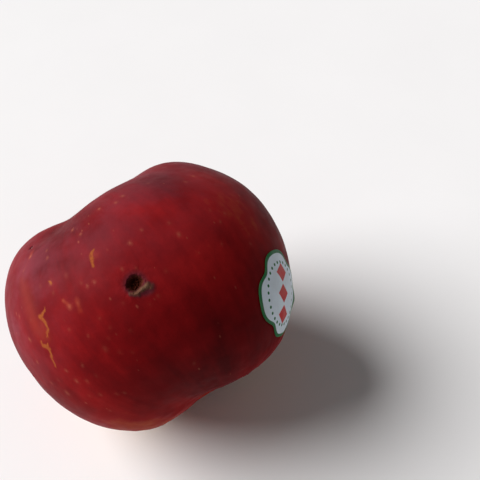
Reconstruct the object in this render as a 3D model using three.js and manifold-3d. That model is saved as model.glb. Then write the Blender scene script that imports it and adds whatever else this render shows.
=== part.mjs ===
// A small red apple that lies on its side, in millimetres, with +Z up and its resting spot on z = 0.
//
// The fruit has a frame of its own: the origin is in the core, +Z points to the stem and +X to the
// side that is seen. A place on the skin is a polar angle from the stem and an azimuth from +X.

import * as THREE from 'three';
import { mergeVertices } from 'three/addons/utils/BufferGeometryUtils.js';
import Module from 'manifold-3d';

const wasm = await Module();
wasm.setup();

// How the fruit lies
const CORE_PLACE = new THREE.Vector3(-0.4, 0.66, 31.1);
const STEM_HEADING = 129.2;
const STEM_RISE = 25.1;
const SEEN_SIDE_RISE = 54;

// The round of the fruit
const EQUATOR_RADIUS = 31;
const STEM_END = 25.5;
const CALYX_END = 27.5;
const FULLNESS = 2.2;
const RIB_COUNT = 5;
const RIB_HEIGHT = 0.4;
const RIB_START = 25;

// The swells, and the hollows between them, that make it lopsided
const SWELLS = [
  { name: 'left shoulder', polar: 35, azimuth: -90, width: 30, height: 4.0 },
  { name: 'right shoulder', polar: 40, azimuth: 85, width: 20, height: 2.0 },
  { name: 'left waist', polar: 110, azimuth: -75, width: 35, height: -0.8 },
  { name: 'right belly', polar: 85, azimuth: 85, width: 30, height: 2.0 },
  { name: 'left crown', polar: 145, azimuth: -65, width: 30, height: 0.6 },
  { name: 'right crown', polar: 140, azimuth: 55, width: 25, height: 2.8 },
  { name: 'crown saddle', polar: 150, azimuth: 0, width: 25, height: -1.6 },
  { name: 'resting belly', polar: 140, azimuth: 190, width: 35, height: 1.8 },
];

// The cavity round the stem and the basin round the calyx
const CAVITY = { depth: 10, spread: 19.5, power: 1.6 };
const BASIN = { depth: 6.5, spread: 17, power: 1.8 };

// The short stalk stands in a plain hole in the floor of the cavity, and ends in a knob
const STEM = { sunk: 3, tall: 7.2, radius: 1.05, knobRadius: 1.7, bend: 0.035 };
const SOCKET_GAP = 0.3;
const SOCKET_HEADROOM = 4;

// The dried calyx: five sepals and a tuft of stamens on a small pad in the floor of the basin
const CALYX = { sepals: 5, stamens: 8, padRadius: 2.0, padSunk: 1.0, padProud: 0.4, bladeThick: 0.6 };
const CALYX_SOCKET_RADIUS = 2.6;

// A hole pecked in the seen side, with a torn lip of skin round the part of it nearest the calyx
const PECK = { polar: 87.6, azimuth: 6, radius: 1.6, depth: 2.1 };
const LIP = { from: -42, to: -165, reach: 2.9, near: 1.8, rise: 0.7, thick: 0.7, root: 0.6 };

// The label, round with four notches in its edge, over the right belly
const LABEL = { polar: 120.5, azimuth: 64.5, turn: 15, halfLong: 9.3, halfWide: 9.6, thick: 0.5 };
const NOTCHES = { count: 4, depth: 0.14, first: 58, narrow: 3 };
const LABEL_GAP = 0.3;

// How finely the round shapes are faceted
const SKIN_DETAIL = 18;

const radians = THREE.MathUtils.degToRad;

// The unit vector from the core to a place on the skin, with both angles in degrees
function direction(polar, azimuth) {
  const across = Math.sin(radians(polar));
  const x = across * Math.cos(radians(azimuth));
  const y = across * Math.sin(radians(azimuth));
  return new THREE.Vector3(x, y, Math.cos(radians(polar)));
}

for (const swell of SWELLS) {
  swell.towards = direction(swell.polar, swell.azimuth);
}

// A hollow pressed in at one end, for an angle from that end
function hollow(shape, angle) {
  return shape.depth * Math.exp(-((angle / radians(shape.spread)) ** shape.power));
}

// The distance from the core to the skin along a unit vector
function skinRadius(towards) {
  const polar = Math.acos(THREE.MathUtils.clamp(towards.z, -1, 1));
  const azimuth = Math.atan2(towards.y, towards.x);
  const across = Math.sin(polar) / EQUATOR_RADIUS;
  const along = Math.abs(towards.z) / (towards.z > 0 ? STEM_END : CALYX_END);
  let radius = (across ** FULLNESS + along ** FULLNESS) ** (-1 / FULLNESS);
  for (const swell of SWELLS) {
    const away = towards.angleTo(swell.towards) / radians(swell.width);
    radius += swell.height * Math.exp(-(away ** 2));
  }
  const rib = Math.cos(RIB_COUNT * (azimuth - radians(RIB_START)));
  radius += RIB_HEIGHT * rib * Math.sin(2 * polar) ** 2;
  return radius - hollow(CAVITY, polar) - hollow(BASIN, Math.PI - polar);
}

// A frame on the skin: x along the parallel, y towards the stem, both turned, and z out of the fruit
function skinFrame(polar, azimuth, turn = 0) {
  const out = direction(polar, azimuth);
  const east = new THREE.Vector3(-Math.sin(radians(azimuth)), Math.cos(radians(azimuth)), 0);
  east.applyAxisAngle(out, -radians(turn));
  const north = new THREE.Vector3().crossVectors(out, east);
  const frame = new THREE.Matrix4().makeBasis(east, north, out);
  return frame.setPosition(out.clone().multiplyScalar(skinRadius(out)));
}

// The turn from the fruit's frame to the frame that the part stands in
function layMatrix() {
  const level = Math.cos(radians(STEM_RISE));
  const stem = new THREE.Vector3(
    level * Math.cos(radians(STEM_HEADING)),
    level * Math.sin(radians(STEM_HEADING)),
    Math.sin(radians(STEM_RISE)),
  );
  const seen = new THREE.Vector3(0, -Math.cos(radians(SEEN_SIDE_RISE)), Math.sin(radians(SEEN_SIDE_RISE)));
  seen.addScaledVector(stem, -seen.dot(stem)).normalize();
  const side = new THREE.Vector3().crossVectors(stem, seen);
  return new THREE.Matrix4().makeBasis(seen, side, stem).setPosition(CORE_PLACE);
}

// A closed body over rings of points, each ring anticlockwise about the way that the rings follow
function loft(rings) {
  const count = rings[0].length;
  const index = [];
  for (let ring = 0; ring + 1 < rings.length; ring += 1) {
    for (let corner = 0; corner < count; corner += 1) {
      const here = ring * count + corner;
      const next = ring * count + (corner + 1) % count;
      index.push(here, next, next + count);
      index.push(here, next + count, here + count);
    }
  }
  const last = (rings.length - 1) * count;
  for (let corner = 1; corner + 1 < count; corner += 1) {
    index.push(0, corner + 1, corner);
    index.push(last, last + corner, last + corner + 1);
  }
  const geometry = new THREE.BufferGeometry();
  const points = rings.flat().flatMap((point) => point.toArray());
  geometry.setAttribute('position', new THREE.Float32BufferAttribute(points, 3));
  geometry.setIndex(index);
  return geometry;
}

// Points evenly round a circle or any outline given by its radius at each angle
function ringOf(sides, pointAt) {
  return Array.from({ length: sides }, (_, side) => pointAt((2 * Math.PI * side) / sides));
}

function toSolid(geometry) {
  const bare = geometry.clone();
  bare.deleteAttribute('normal');
  bare.deleteAttribute('uv');
  const merged = mergeVertices(bare, 1e-4);
  const vertProperties = new Float32Array(merged.attributes.position.array);
  const triVerts = new Uint32Array(merged.index.array);
  return new wasm.Manifold(new wasm.Mesh({ numProp: 3, vertProperties, triVerts }));
}

function toGeometry(solid) {
  const mesh = solid.getMesh();
  const geometry = new THREE.BufferGeometry();
  geometry.setAttribute('position', new THREE.BufferAttribute(new Float32Array(mesh.vertProperties), 3));
  geometry.setIndex(new THREE.BufferAttribute(new Uint32Array(mesh.triVerts), 1));
  geometry.computeVertexNormals();
  return geometry;
}

// The whole skin: an evenly faceted ball pulled out to the fruit's form
function skinGeometry() {
  const geometry = new THREE.IcosahedronGeometry(1, SKIN_DETAIL);
  const position = geometry.attributes.position;
  const towards = new THREE.Vector3();
  for (let i = 0; i < position.count; i += 1) {
    towards.fromBufferAttribute(position, i).normalize();
    towards.multiplyScalar(skinRadius(towards));
    position.setXYZ(i, towards.x, towards.y, towards.z);
  }
  return geometry;
}

// An upright hole from a depth in the flesh to the open air
function socket(radius, bottom, top) {
  const geometry = new THREE.CylinderGeometry(radius, radius, top - bottom, 24).rotateX(Math.PI / 2);
  return geometry.translate(0, 0, (top + bottom) / 2);
}

// The pecked pit: a round dent with an uneven edge
function peckGeometry() {
  const geometry = new THREE.SphereGeometry(1, 20, 12).rotateX(Math.PI / 2);
  const position = geometry.attributes.position;
  const point = new THREE.Vector3();
  for (let i = 0; i < position.count; i += 1) {
    point.fromBufferAttribute(position, i);
    const angle = Math.atan2(point.y, point.x);
    const uneven = 1 + 0.12 * Math.cos(3 * angle + 0.6) + 0.07 * Math.cos(5 * angle);
    const spread = PECK.radius * uneven;
    position.setXYZ(i, point.x * spread, point.y * spread, point.z * PECK.depth);
  }
  return geometry.applyMatrix4(skinFrame(PECK.polar, PECK.azimuth));
}

// The torn lip: a thin curl of skin that stands along the pit's edge and leans in over it
function lipGeometry() {
  const steps = 12;
  const rings = [];
  for (let step = 0; step <= steps; step += 1) {
    const part = step / steps;
    const angle = radians(THREE.MathUtils.lerp(LIP.from, LIP.to, part));
    const reach = THREE.MathUtils.lerp(LIP.reach, LIP.near, Math.min(1, part * 2.2));
    const ragged = 0.75 + 0.25 * Math.sin(part * 11);
    const rise = LIP.rise * ragged * Math.sin(Math.PI * (0.12 + 0.76 * part));
    const outline = [
      [reach - LIP.thick / 2, -LIP.root],
      [reach + LIP.thick / 2, -LIP.root],
      [reach + LIP.thick * 0.3, rise * 0.5],
      [reach - LIP.thick * 0.3, rise + 0.1],
      [reach - LIP.thick * 1.1, rise],
    ];
    rings.push(outline.map(([far, high]) => (
      new THREE.Vector3(far * Math.cos(angle), far * Math.sin(angle), high)
    )));
  }
  return loft(rings).applyMatrix4(skinFrame(PECK.polar, PECK.azimuth));
}

function appleGeometry(lay) {
  const floorOfCavity = skinRadius(direction(0, 0));
  const floorOfBasin = skinRadius(direction(180, 0));
  const stemHole = socket(
    STEM.radius + SOCKET_GAP,
    floorOfCavity - STEM.sunk - SOCKET_GAP,
    floorOfCavity + SOCKET_HEADROOM,
  );
  const calyxHole = socket(
    CALYX_SOCKET_RADIUS,
    -(floorOfBasin + SOCKET_HEADROOM),
    -(floorOfBasin - CALYX.padSunk - SOCKET_GAP),
  );
  const floorBlock = new THREE.BoxGeometry(80, 80, 20).translate(0, 0, -10);
  const laid = (geometry) => toSolid(geometry.applyMatrix4(lay));
  const fruit = laid(skinGeometry())
    .subtract(laid(peckGeometry()))
    .add(laid(lipGeometry()))
    .subtract(laid(stemHole))
    .subtract(laid(calyxHole))
    .subtract(toSolid(floorBlock));
  return toGeometry(fruit);
}

// The stalk from the foot of its hole, upwards along z, leaning back as it rises
function stemGeometry() {
  const sides = 14;
  const stations = [
    { height: -STEM.sunk, radius: STEM.radius * 0.85 },
    { height: -1, radius: STEM.radius },
    { height: STEM.tall * 0.15, radius: STEM.radius * 0.95 },
    { height: STEM.tall * 0.5, radius: STEM.radius * 0.85 },
    { height: STEM.tall * 0.8, radius: STEM.radius * 0.98 },
    { height: STEM.tall * 0.92, radius: STEM.knobRadius * 0.92 },
    { height: STEM.tall * 0.98, radius: STEM.knobRadius },
    { height: STEM.tall, radius: STEM.knobRadius * 0.75 },
  ];
  return loft(stations.map(({ height, radius }) => {
    const back = STEM.bend * Math.max(0, height) ** 2;
    const tilt = 0.3 * back;
    return ringOf(sides, (angle) => new THREE.Vector3(
      radius * Math.cos(angle) - back,
      radius * Math.sin(angle),
      height + tilt * Math.cos(angle),
    ));
  }));
}

// One dried sepal: it rises from the pad, leans in over the eye and curls out at its tip
function sepalGeometry(angle, droop) {
  const path = new THREE.CatmullRomCurve3([
    new THREE.Vector3(1.45, 0, -0.5),
    new THREE.Vector3(1.85, 0, 0.9),
    new THREE.Vector3(1.6, 0, 2.0),
    new THREE.Vector3(2.1, 0, 3.0 - droop * 0.4),
    new THREE.Vector3(3.1, 0, 3.2 - droop),
  ]);
  const steps = 9;
  const rings = [];
  for (let step = 0; step <= steps; step += 1) {
    const part = step / steps;
    const centre = path.getPoint(part);
    const along = path.getTangent(part);
    const across = new THREE.Vector3(0, 1, 0);
    const face = new THREE.Vector3().crossVectors(along, across);
    const halfWide = 1.05 * (1 - part) ** 0.8 + 0.16;
    const halfThick = CALYX.bladeThick / 2;
    const corners = [[1, -1], [1, 1], [-1, 1], [-1, -1]];
    rings.push(corners.map(([sideways, over]) => centre.clone()
      .addScaledVector(across, sideways * halfWide)
      .addScaledVector(face, over * halfThick)));
  }
  return loft(rings).rotateZ(angle);
}

function stamenGeometry(angle) {
  const peg = new THREE.CylinderGeometry(0.3, 0.36, 2.2, 5).rotateX(Math.PI / 2);
  return peg.rotateY(0.22).translate(0.75, 0, 0.9).rotateZ(angle);
}

// Pad, sepals and stamens as one body, out of the basin along z
function calyxGeometry() {
  const padHeight = CALYX.padSunk + CALYX.padProud;
  const pad = new THREE.CylinderGeometry(CALYX.padRadius, CALYX.padRadius * 0.9, padHeight, 20);
  pad.rotateX(Math.PI / 2).translate(0, 0, (CALYX.padProud - CALYX.padSunk) / 2);
  let solid = toSolid(pad);
  for (let sepal = 0; sepal < CALYX.sepals; sepal += 1) {
    const angle = (2 * Math.PI * sepal) / CALYX.sepals + 0.15 * Math.sin(sepal * 2.4);
    const droop = 0.25 + 0.25 * Math.sin(sepal * 1.9);
    solid = solid.add(toSolid(sepalGeometry(angle, droop)));
  }
  for (let stamen = 0; stamen < CALYX.stamens; stamen += 1) {
    solid = solid.add(toSolid(stamenGeometry((2 * Math.PI * (stamen + 0.5)) / CALYX.stamens)));
  }
  return toGeometry(solid);
}

// The label follows the skin: from the middle of its underside out to the rim and back over the top
function labelGeometry() {
  const sides = 72;
  const shares = [0.06, 0.3, 0.55, 0.8, 1];
  const frame = skinFrame(LABEL.polar, LABEL.azimuth, LABEL.turn);
  const middle = new THREE.Vector3().setFromMatrixPosition(frame);
  const reach = middle.length();
  const east = new THREE.Vector3();
  const north = new THREE.Vector3();
  const out = new THREE.Vector3();
  frame.extractBasis(east, north, out);
  const pointAt = (angle, share, lift) => {
    const wave = (1 + Math.cos(NOTCHES.count * (angle - radians(NOTCHES.first)))) / 2;
    const edge = 1 - NOTCHES.depth * wave ** NOTCHES.narrow;
    const wide = LABEL.halfWide * edge * share * Math.cos(angle);
    const long = LABEL.halfLong * edge * share * Math.sin(angle);
    const bow = Math.hypot(wide, long) / reach;
    const sideways = east.clone().multiplyScalar(wide).addScaledVector(north, long).normalize();
    const towards = out.clone().multiplyScalar(Math.cos(bow)).addScaledVector(sideways, Math.sin(bow));
    return towards.multiplyScalar(skinRadius(towards) + lift);
  };
  const under = shares.map((share) => ringOf(sides, (angle) => pointAt(angle, share, LABEL_GAP)));
  const over = shares.map((share) => ringOf(sides, (angle) => (
    pointAt(angle, share, LABEL_GAP + LABEL.thick)
  )));
  return loft([...under, ...over.reverse()]);
}

function material(color, roughness) {
  return new THREE.MeshStandardMaterial({ color, roughness, metalness: 0 });
}

function piece(name, geometry, look) {
  const mesh = new THREE.Mesh(geometry, look);
  mesh.name = name;
  return mesh;
}

const lay = layMatrix();
const group = new THREE.Group();
group.add(piece('apple', appleGeometry(lay), material(0x7e1d22, 0.45)));

// The small pieces hang in the fruit's own frame, which is turned and set down with it
const fruitFrame = new THREE.Group();
lay.decompose(fruitFrame.position, fruitFrame.quaternion, fruitFrame.scale);
group.add(fruitFrame);

const stem = piece('stem', stemGeometry(), material(0x5c4630, 0.85));
stem.position.z = skinRadius(direction(0, 0));
fruitFrame.add(stem);

const calyx = piece('calyx', calyxGeometry(), material(0x4a3826, 0.9));
calyx.position.z = -skinRadius(direction(180, 0));
calyx.rotation.x = Math.PI;
fruitFrame.add(calyx);

fruitFrame.add(piece('label', labelGeometry(), material(0xe4e8e2, 0.5)));

export default group;
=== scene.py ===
# %% [markdown]
# # A small red apple, lying on its side
#
# This lesson dresses the plain solids of a small apple. The solids say how big everything is and
# where it sits. Here the fruit gets its skin, with streaks, pores and a pecked hole, and the stalk,
# the dried flower end and the label are made again as fine pieces in the same places.

# %% Load the plain solids
import math

import bmesh
import bpy
import numpy as np
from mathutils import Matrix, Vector, noise


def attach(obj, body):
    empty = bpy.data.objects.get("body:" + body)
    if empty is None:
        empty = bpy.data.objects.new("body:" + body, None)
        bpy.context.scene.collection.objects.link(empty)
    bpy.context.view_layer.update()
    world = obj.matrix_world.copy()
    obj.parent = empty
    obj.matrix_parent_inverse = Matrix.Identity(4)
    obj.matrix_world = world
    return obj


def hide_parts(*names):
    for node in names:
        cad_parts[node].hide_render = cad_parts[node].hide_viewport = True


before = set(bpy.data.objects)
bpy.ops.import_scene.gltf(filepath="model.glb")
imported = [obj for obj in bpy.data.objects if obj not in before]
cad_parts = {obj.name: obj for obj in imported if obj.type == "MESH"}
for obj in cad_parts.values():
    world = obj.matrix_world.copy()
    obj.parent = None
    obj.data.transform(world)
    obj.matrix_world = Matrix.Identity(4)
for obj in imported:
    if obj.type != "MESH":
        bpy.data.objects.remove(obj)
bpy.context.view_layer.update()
print("solids to dress:", sorted(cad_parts))

# %% [markdown]
# ## A frame for the fruit
#
# A real apple grows round its core, so its form is simplest to give from the core outwards. The
# fruit has a frame of its own: Z runs to the stalk, X to the side that faces up and forward as it
# lies. A place on the skin is then a polar angle from the stalk and an azimuth, like latitude and
# longitude. Lengths are in millimetres until a mesh is made.

# %% Give the fruit its frame
MM = 0.001
CORE_PLACE = np.array([-0.4, 0.66, 31.1])
STEM_HEADING = math.radians(129.2)
STEM_RISE = math.radians(25.1)
SEEN_SIDE_RISE = math.radians(54)


def unit(vector):
    return vector / np.linalg.norm(vector)


def fruit_axes():
    """The fruit's X, Y and Z as rows, in the frame that the part stands in."""
    level = math.cos(STEM_RISE)
    stem = np.array([level * math.cos(STEM_HEADING), level * math.sin(STEM_HEADING), math.sin(STEM_RISE)])
    seen = np.array([0.0, -math.cos(SEEN_SIDE_RISE), math.sin(SEEN_SIDE_RISE)])
    seen = unit(seen - (seen @ stem) * stem)
    return np.array([seen, np.cross(stem, seen), stem])


FRUIT_AXES = fruit_axes()


def set_down(points):
    """Points of the fruit's frame, in the frame that the part stands in."""
    return np.asarray(points) @ FRUIT_AXES + CORE_PLACE


def direction(polar, azimuth):
    """The unit vector from the core to a place on the skin, with both angles in degrees."""
    polar, azimuth = np.radians(polar), np.radians(azimuth)
    return np.array([np.sin(polar) * np.cos(azimuth), np.sin(polar) * np.sin(azimuth), np.cos(polar)])


print("the stalk points along", FRUIT_AXES[2].round(3))

# %% [markdown]
# ## The form of the fruit
#
# An apple is close to a squashed ball with a cavity at the stalk and a shallower basin at the
# flower end. A small wild-looking one is also lopsided, because its five seed chambers never fill
# alike. It could be sculpted by hand, but a formula keeps it the same size as the solids: a
# rounded body, plus broad swells and faint ribs, minus the two hollows.

# %% Work out the distance from core to skin
EQUATOR_RADIUS = 31
STEM_END = 25.5
CALYX_END = 27.5
FULLNESS = 2.2
RIB_COUNT = 5
RIB_HEIGHT = 0.4
RIB_START = math.radians(25)
CAVITY = {"depth": 10, "spread": 19.5, "power": 1.6}
BASIN = {"depth": 6.5, "spread": 17, "power": 1.8}

# Each swell: where its top is (polar, azimuth), how wide it is in degrees and how high
SWELLS = {
    "left shoulder": (35, -90, 30, 4.0),
    "right shoulder": (40, 85, 20, 2.0),
    "left waist": (110, -75, 35, -0.8),
    "right belly": (85, 85, 30, 2.0),
    "left crown": (145, -65, 30, 0.6),
    "right crown": (140, 55, 25, 2.8),
    "crown saddle": (150, 0, 25, -1.6),
    "resting belly": (140, 190, 35, 1.8),
}


def polar_angle(towards):
    return np.arccos(np.clip(towards[:, 2], -1, 1))


def azimuth_angle(towards):
    return np.arctan2(towards[:, 1], towards[:, 0])


def hollow(shape, angle):
    return shape["depth"] * np.exp(-((angle / math.radians(shape["spread"])) ** shape["power"]))


def angle_between(towards, other):
    return np.arccos(np.clip(towards @ other, -1, 1))


def lobes(towards, rows):
    """The sum of soft round lobes, each with a polar angle, an azimuth, a width in degrees and a height."""
    total = np.zeros(len(towards))
    for polar, azimuth, width, height in rows:
        away = angle_between(towards, direction(polar, azimuth)) / math.radians(width)
        total += height * np.exp(-(away ** 2))
    return total


def skin_radius(towards):
    """The distance from the core to the plain skin, for unit vectors in the fruit's frame."""
    towards = np.atleast_2d(towards)
    polar, azimuth = polar_angle(towards), azimuth_angle(towards)
    along = np.abs(towards[:, 2]) / np.where(towards[:, 2] > 0, STEM_END, CALYX_END)
    radius = ((np.sin(polar) / EQUATOR_RADIUS) ** FULLNESS + along ** FULLNESS) ** (-1 / FULLNESS)
    radius += lobes(towards, SWELLS.values())
    radius += RIB_HEIGHT * np.cos(RIB_COUNT * (azimuth - RIB_START)) * np.sin(2 * polar) ** 2
    return radius - hollow(CAVITY, polar) - hollow(BASIN, np.pi - polar)


CAVITY_FLOOR = skin_radius(direction(0, 0))[0]
BASIN_FLOOR = skin_radius(direction(180, 0))[0]
print("core to cavity floor %.1f mm, core to basin floor %.1f mm" % (CAVITY_FLOOR, BASIN_FLOOR))

# %% [markdown]
# ## Places on the skin
#
# Marks on the skin are easiest to lay out flat, in millimetres east and north of a point, as on a
# small map. Each mark gets such a map, and every point of the skin can be read on it.

# %% Make maps on the skin


class SkinMap:
    """A flat map in millimetres round a place on the skin: east along the parallel, north to the stalk."""

    def __init__(self, polar, azimuth, turn=0):
        self.out = direction(polar, azimuth)
        angle = math.radians(azimuth)
        east = np.array([-math.sin(angle), math.cos(angle), 0.0])
        turned = math.radians(-turn)
        self.east = east * math.cos(turned) + np.cross(self.out, east) * math.sin(turned)
        self.north = np.cross(self.out, self.east)
        self.radius = skin_radius(self.out)[0]

    def read(self, towards):
        """Where unit vectors fall on the map."""
        away = angle_between(towards, self.out)
        flat = towards - np.outer(towards @ self.out, self.out)
        flat /= np.linalg.norm(flat, axis=1, keepdims=True) + 1e-12
        return away * self.radius * (flat @ self.east), away * self.radius * (flat @ self.north)

    def away(self, towards):
        """How many millimetres from the middle of the map unit vectors fall."""
        return np.hypot(*self.read(towards))

    def towards(self, east, north):
        """The unit vectors of points given on the map."""
        east, north = np.asarray(east, float), np.asarray(north, float)
        length = np.hypot(east, north) + 1e-12
        bow = length / self.radius
        flat = np.outer(east / length, self.east) + np.outer(north / length, self.north)
        return np.cos(bow)[:, None] * self.out + np.sin(bow)[:, None] * flat


peck_map = SkinMap(87.6, 6)
print("middle of the pecked hole:", set_down(peck_map.out * peck_map.radius).round(1), "mm")

# %% [markdown]
# ## Growth cracks
#
# Where young skin split and healed, thin lines of yellow cork run along the fruit. There are two
# close together on the left, a short one nearer the top and a fleck between them. Each is a run of
# points on a map with a half-width at each point, so a line can swell and fade as the real ones
# do. Softer stretches, where the red is thin and orange shows through, are laid out the same way.

# %% Lay out the growth cracks
LEFT_MAP = SkinMap(74.9, -29.4)
LOWER_MAP = SkinMap(84.6, -39.9)
MIDDLE_MAP = SkinMap(69.5, -1.5)
FLECK_MAP = SkinMap(68.2, -22.5)

# Each crack: its map, then points as east, north and half-width in millimetres
CRACKS = {
    "upper left": (LEFT_MAP, [(0.3, 0.0, 0.14), (-0.8, -0.7, 0.32), (-2.0, -0.9, 0.56), (-1.6, -1.8, 0.36),
                              (-1.4, -2.6, 0.36), (-1.6, -3.8, 0.38), (-3.0, -5.0, 0.16)]),
    "lower left": (LOWER_MAP, [(0.5, 0.4, 0.16), (0.1, -0.5, 0.42), (1.0, -1.1, 0.54), (1.3, -1.8, 0.46),
                               (0.9, -2.7, 0.36), (0.2, -3.8, 0.34), (-0.4, -5.5, 0.14)]),
    "spur": (LOWER_MAP, [(1.9, -0.8, 0.16), (1.0, -1.3, 0.4)]),
    "middle": (MIDDLE_MAP, [(0.7, 0.9, 0.2), (-0.2, 0.2, 0.48), (-0.5, -0.9, 0.38), (-0.9, -2.1, 0.34)]),
    "fleck": (FLECK_MAP, [(-0.15, 0.4, 0.2), (0.15, -0.25, 0.3)]),
}

# Each soft orange stretch: how strong it is, its map and its points
FLUSHES = {
    "long": (0.4, LEFT_MAP, [(-4.8, 9.0, 1.2), (-4.0, 5.0, 1.9), (-4.0, 1.5, 1.9),
                             (-4.4, -2.2, 1.9), (-3.6, -4.4, 1.4)]),
    "by the crack": (0.4, LEFT_MAP, [(-2.4, -2.2, 1.1), (-3.0, -5.0, 1.0)]),
    "streak": (0.7, LEFT_MAP, [(7.8, -2.5, 0.36), (7.3, -4.8, 0.44)]),
    "hook": (1.0, LEFT_MAP, [(4.9, -1.1, 0.26), (5.3, -2.1, 0.32), (5.8, -3.0, 0.46)]),
    "shoulder": (0.8, LEFT_MAP, [(-2.3, 15.0, 0.42), (-2.7, 13.4, 0.36)]),
    "edge": (0.4, LEFT_MAP, [(-3.4, 12.4, 0.46), (-4.1, 11.0, 0.4)]),
    "under the middle": (0.5, LEFT_MAP, [(14.2, 4.4, 0.5), (14.8, 3.4, 0.6)]),
}


def nearest_on(line, east, north):
    """For each step of a line: its nearest place to each point of a map, and the third number there."""
    for (x0, y0, first), (x1, y1, last) in zip(line, line[1:]):
        dx, dy = x1 - x0, y1 - y0
        part = np.clip(((east - x0) * dx + (north - y0) * dy) / (dx * dx + dy * dy), 0, 1)
        yield x0 + part * dx, y0 + part * dy, first + part * (last - first)


def crack_mark(east, north, line):
    """How far inside a crack each point of a map is, from 0 clear of it to 1 on its middle."""
    mark = np.zeros(len(east))
    for line_east, line_north, width in nearest_on(line, east, north):
        away = np.hypot(east - line_east, north - line_north)
        mark = np.maximum(mark, np.exp(-((away / width) ** 2)))
    return mark


def lined(towards, strength, line_map, line):
    """The mark that one line leaves on the skin."""
    mark = np.zeros(len(towards))
    close = towards @ line_map.out > 0.7
    east, north = line_map.read(towards[close])
    wander = 0.06 * np.sin(4.3 * east + 1.7 * north)
    mark[close] = strength * crack_mark(east + wander, north - wander, line)
    return mark


def cracked(towards):
    return np.max([lined(towards, 1.0, *crack) for crack in CRACKS.values()], axis=0)


def flushed(towards):
    return np.max([lined(towards, *flush) for flush in FLUSHES.values()], axis=0)


print("growth cracks:", ", ".join(CRACKS))
print("orange stretches:", ", ".join(FLUSHES))

# %% [markdown]
# ## Pores
#
# The skin breathes through pores. Most are faint specks, left to the finish, but some have grown
# into pale flecks with soft edges, longer from stalk to flower end. These have places of their
# own: polar angle, azimuth, size in millimetres and strength.

# %% Lay out the larger pores
PORES = [
    (68.2, -22.5, 0.5, 1), (80.5, -18.8, 0.5, 0.7), (77.6, -19.9, 0.4, 0.22), (81.4, -15.2, 0.42, 0.2),
    (78.7, -5.9, 0.38, 0.6), (78.3, -8.8, 0.34, 0.6), (50.4, 11.5, 0.42, 0.7), (53.6, 19.7, 0.46, 0.5),
    (52, 24.8, 0.46, 0.5), (50.9, -5.7, 0.4, 1), (57.4, -2.2, 0.4, 0.7), (74.3, 12.7, 0.42, 0.65),
    (72.5, 18.9, 0.34, 0.5), (81.4, 29.2, 0.5, 0.6), (75.8, 29.2, 0.4, 0.3), (85.2, 46.8, 0.36, 0.4),
    (62.8, 52.8, 0.44, 0.4), (92.5, 41.4, 0.34, 0.24), (97.8, 53.7, 0.4, 0.35), (52.5, -22.6, 0.4, 0.45),
    (49.5, -34.8, 0.42, 0.95), (69.9, -14.6, 0.6, 0.2), (90.1, -11, 0.3, 0.38), (93.1, -18.8, 0.36, 0.3),
    (80.4, -45.3, 0.42, 1), (100, -28.5, 0.34, 0.4), (98.1, -37, 0.36, 0.5), (103.4, -36.5, 0.5, 0.55),
    (105.7, -32.4, 0.46, 0.3), (112.8, -33.2, 0.4, 0.36), (116.4, -27.6, 0.42, 0.2),
    (118, -24.9, 0.4, 0.26), (104.7, -46.9, 0.6, 0.6), (124.9, 7.1, 0.36, 0.28), (88.7, -49.8, 0.34, 0.9),
    (98.2, -51.2, 0.42, 0.4), (100.1, -16.5, 0.6, 0.22), (87.1, -23.9, 0.34, 0.3), (57, -21.9, 0.42, 0.6),
    (80.7, 5.1, 0.42, 0.38), (61.7, 60.5, 0.42, 0.6), (70.4, -46.4, 0.42, 0.45), (54.8, -38.9, 0.42, 0.24),
    (95.7, 10.1, 0.42, 0.16), (76.1, -10.3, 0.42, 0.23), (104.1, -12.8, 0.42, 0.15),
    (83.3, 51.7, 0.42, 0.32), (66.5, -28, 0.42, 0.21), (79.5, 46.9, 0.42, 0.2), (100.3, -4.7, 0.42, 0.12),
    (95.2, -10.1, 0.42, 0.11), (90.8, -1.2, 0.42, 0.1), (120.5, -38.7, 0.42, 0.28),
    (75.2, -38.8, 0.42, 0.17), (83.3, 9.3, 0.42, 0.17), (97.6, -12.9, 0.42, 0.1),
    (110.6, -37.9, 0.42, 0.16), (52.8, 40.1, 0.42, 0.25), (72.5, -22.8, 0.42, 0.27), (96.7, 6, 0.42, 0.08),
    (106.6, -9.3, 0.42, 0.1), (106.1, -27.2, 0.42, 0.15), (90, 17.3, 0.42, 0.15), (98.8, -45, 0.42, 0.15),
]
PORE_STRETCH = 1.5
pore_maps = [(SkinMap(polar, azimuth), size, strength) for polar, azimuth, size, strength in PORES]


def pored(towards):
    mark = np.zeros(len(towards))
    for pore_map, size, strength in pore_maps:
        close = towards @ pore_map.out > 0.995
        east, north = pore_map.read(towards[close])
        far = np.hypot(east * PORE_STRETCH, north) / size
        mark[close] = np.maximum(mark[close], strength * np.exp(-(far ** 2)))
    return mark


print("larger pores:", len(PORES))

# %% [markdown]
# ## A ball of even triangles
#
# The skin starts as an icosphere, whose triangles are all nearly the same size, so no place is
# coarse. The hole, the cracks and the pores need more detail than those triangles give, so the
# ball is cut finer round them before it is pulled to the form of the fruit.

# %% Make the ball and cut it finer where the marks are
BALL_SUBDIVISIONS = 7
NICK_MAP = SkinMap(43.1, -38.8)


def refine(ball, is_near, cuts):
    """Cuts each edge whose two ends pass the test, and leaves triangles."""
    places = np.array([vert.co for vert in ball.verts])
    towards = places / np.linalg.norm(places, axis=1, keepdims=True)
    near = is_near(towards)
    ball.verts.index_update()
    edges = [edge for edge in ball.edges if near[edge.verts[0].index] and near[edge.verts[1].index]]
    bmesh.ops.subdivide_edges(ball, edges=edges, cuts=cuts, use_grid_fill=True)
    bmesh.ops.triangulate(ball, faces=[face for face in ball.faces if len(face.verts) > 3])


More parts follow.
